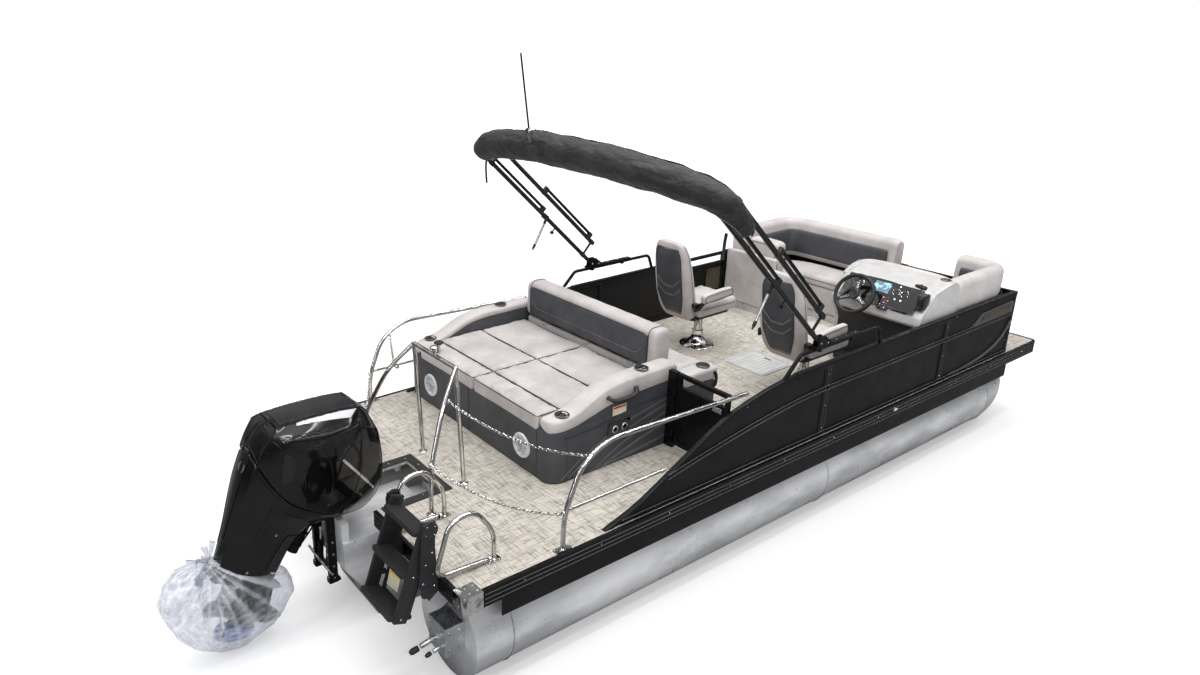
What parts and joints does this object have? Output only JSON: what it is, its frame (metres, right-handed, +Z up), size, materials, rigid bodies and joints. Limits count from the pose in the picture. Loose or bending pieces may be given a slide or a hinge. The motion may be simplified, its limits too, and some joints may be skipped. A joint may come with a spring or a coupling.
{
  "type": "pontoon boat",
  "caption": "Three-tube pontoon boat with a tilted outboard, folded canopy, aft lounge, helm console, swivel chairs, bow couches and gates.",
  "frame": {"origin": "on the centreline at the floor, under the aft edge of the deck, on the keel face of the engine pod", "axes": "+X to the bow, +Y to port, +Z up"},
  "size_m": [8.1165, 2.6749, 3.5999],
  "materials": {
    "bare_aluminium": "satin",
    "black_rail": "satin powder coat",
    "chrome": "polished",
    "woven_floor": "woven vinyl",
    "light_vinyl": "stitched marine vinyl",
    "dark_vinyl": "stitched marine vinyl",
    "black_canvas": "wrinkled canvas",
    "gloss_black": "gloss",
    "matte_black": "matte",
    "console_white": "gloss",
    "bare_black_metal": "satin",
    "cast_block": "cast",
    "clear_bag": "clear crumpled film",
    "blue_plastic": "gloss",
    "pale_hatch": "translucent"
  },
  "bodies": {
    "hull": {"canopy_arches": "bare_black_metal", "chair_pedestals": "chrome", "corner_castings": "chrome", "couch_backs": "light_vinyl", "couch_bases": "dark_vinyl", "couch_seats": "light_vinyl", "dash_panel": "gloss_black", "deck": "woven_floor", "deck_edge_rail": "black_rail", "deck_frame": "bare_aluminium", "engine_clamp": "bare_black_metal", "engine_pod": "bare_aluminium", "fence_bow": "black_rail", "fence_port": "black_rail", "fence_starboard": "black_rail", "hatch_tray": "pale_hatch", "helm_console": "console_white", "ladder_bracket": "bare_black_metal", "ladder_loops": "chrome", "lounge_arms": "light_vinyl", "lounge_backrest": "light_vinyl", "lounge_base": "dark_vinyl", "lounge_fittings": "black_rail", "lounge_pads": "light_vinyl", "side_skirts": "black_rail", "stern_chains": "chrome", "stern_rails": "chrome", "tow_frame": "chrome", "transducer_bracket": "bare_aluminium", "tube_centre": "bare_aluminium", "tubes_outer": "bare_aluminium", "well_frame": "matte_black"},
    "hatch": {"hatch_lid": "pale_hatch"},
    "gate_port": {"gate_port": "black_rail"},
    "gate_bow": {"gate_bow": "black_rail"},
    "gate_aft": {"gate_aft": "black_rail"},
    "wheel": {"helm_wheel": "matte_black"},
    "helm_chair": {"chair_shell_helm": "light_vinyl", "chair_pads_helm": "light_vinyl"},
    "port_chair": {"chair_shell_port": "light_vinyl", "chair_pads_port": "light_vinyl"},
    "ladder": {"ladder": "bare_black_metal"},
    "ladder_slide": {"ladder_extension": "bare_black_metal"},
    "canopy": {"canopy_bows": "bare_black_metal", "canopy_boot": "black_canvas", "light_pole": "matte_black"},
    "brace_port": {"brace_port": "bare_aluminium"},
    "brace_starboard": {"brace_starboard": "bare_aluminium"},
    "swivel": {"engine_swivel": "bare_black_metal"},
    "engine": {"engine_leg": "gloss_black", "engine_cowl": "gloss_black", "engine_powerhead": "cast_block", "engine_gearcase": "bare_black_metal", "skeg_guard": "blue_plastic", "propeller_bag": "clear_bag"},
    "propeller": {"propeller": "bare_black_metal"}
  },
  "joints": [
    {"name": "engine_tilt", "type": "hinge", "parent": "hull", "child": "swivel", "pos_m": [-0.262, 0, 0.815], "axis": [0, 1, 0], "range_deg": [-32, 8]},
    {"name": "engine_steer", "type": "hinge", "parent": "swivel", "child": "engine", "pos_m": [-0.33832, 0, 0.86269], "axis": [0.5299, 0, 0.848], "range_deg": [-29, 21]},
    {"name": "propeller_spin", "type": "hinge", "parent": "engine", "child": "propeller", "pos_m": [-1.02875, -0.02162, 0.34134], "axis": [0.846, 0.0698, -0.5286], "continuous": true},
    {"name": "gate_aft_swing", "type": "hinge", "parent": "hull", "child": "gate_aft", "pos_m": [2.182, -0.744, 1.1], "axis": [0, 0, 1], "range_deg": [-90, 0]},
    {"name": "gate_port_swing", "type": "hinge", "parent": "hull", "child": "gate_port", "pos_m": [5.046, 1.207, 1.1], "axis": [0, 0, 1], "range_deg": [0, 90]},
    {"name": "gate_bow_swing", "type": "hinge", "parent": "hull", "child": "gate_bow", "pos_m": [6.082, -0.214, 1.1], "axis": [0, 0, 1], "range_deg": [-90, 0]},
    {"name": "hatch_lift", "type": "hinge", "parent": "hull", "child": "hatch", "pos_m": [3.834, -0.085, 0.7885], "axis": [0, 1, 0], "range_deg": [-85, 0]},
    {"name": "wheel_turn", "type": "hinge", "parent": "hull", "child": "wheel", "pos_m": [4.5, -0.64, 1.52], "axis": [-0.8829, 0, 0.4695], "range_deg": [-540, 540]},
    {"name": "helm_chair_swivel", "type": "hinge", "parent": "hull", "child": "helm_chair", "pos_m": [3.93, -0.62, 1.105], "axis": [0, 0, 1], "continuous": true},
    {"name": "port_chair_swivel", "type": "hinge", "parent": "hull", "child": "port_chair", "pos_m": [3.93, 0.57, 1.105], "axis": [0, 0, 1], "continuous": true},
    {"name": "ladder_fold", "type": "hinge", "parent": "hull", "child": "ladder", "pos_m": [-0.07, -0.81, 1.105], "axis": [0, 1, 0], "range_deg": [0, 150]},
    {"name": "ladder_extend", "type": "slide", "parent": "ladder", "child": "ladder_slide", "axis": [-0.342, 0, -0.9397], "range_m": [0, 0.4]},
    {"name": "canopy_fold", "type": "hinge", "parent": "hull", "child": "canopy", "pos_m": [3.12, 0, 1.58], "axis": [0, 1, 0], "range_deg": [-25, 44]},
    {"name": "brace_port_swing", "type": "hinge", "parent": "canopy", "child": "brace_port", "pos_m": [2.54223, 1.207, 2.11878], "axis": [0, 1, 0], "range_deg": [-60, 60]},
    {"name": "brace_starboard_swing", "type": "hinge", "parent": "canopy", "child": "brace_starboard", "pos_m": [2.54223, -1.207, 2.11878], "axis": [0, 1, 0], "range_deg": [-60, 60]}
  ]
}
